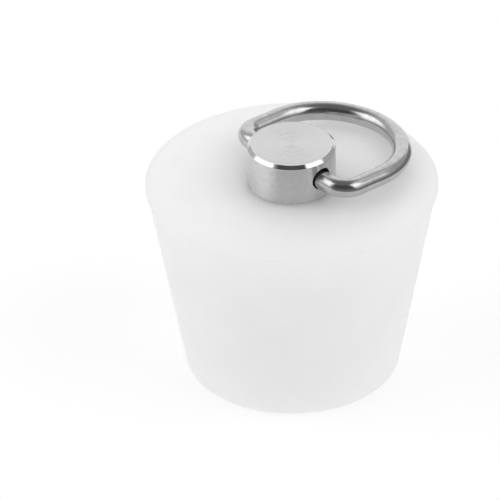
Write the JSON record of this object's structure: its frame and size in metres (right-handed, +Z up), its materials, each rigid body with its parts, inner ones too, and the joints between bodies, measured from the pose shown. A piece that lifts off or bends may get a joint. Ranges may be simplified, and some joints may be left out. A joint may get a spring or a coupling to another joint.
{
  "type": "drain stopper",
  "caption": "Tapered translucent silicone plug that seals a drain by its side wall, with a turned steel knob on top and a hinged wire pull ring to lift it out.",
  "frame": {"origin": "centre of the plug's base, on the surface that it stands on", "axes": "+Z up along the plug's axis, X along the ring's pins, +Y towards the ring's round end as it rests"},
  "size_m": [0.053, 0.053, 0.046],
  "materials": {
    "silicone": "moulded milky translucent silicone, satin",
    "turned_steel": "turned stainless steel, faced top, satin side, polished chamfer",
    "polished_wire": "polished stainless steel wire",
    "screw_steel": "plain stainless steel machine screw",
    "washer_steel": "stamped stainless steel sheet"
  },
  "bodies": {
    "stopper": {"stopper_body": "silicone", "knob": "turned_steel", "fixing_screw": "screw_steel", "washer": "washer_steel"},
    "ring": {"pull_ring": "polished_wire"}
  },
  "joints": [
    {"name": "ring_hinge", "type": "hinge", "parent": "stopper", "child": "ring", "pos_m": [0, 0, 0.0419], "axis": [1, 0, 0], "range_deg": [0, 188]}
  ]
}
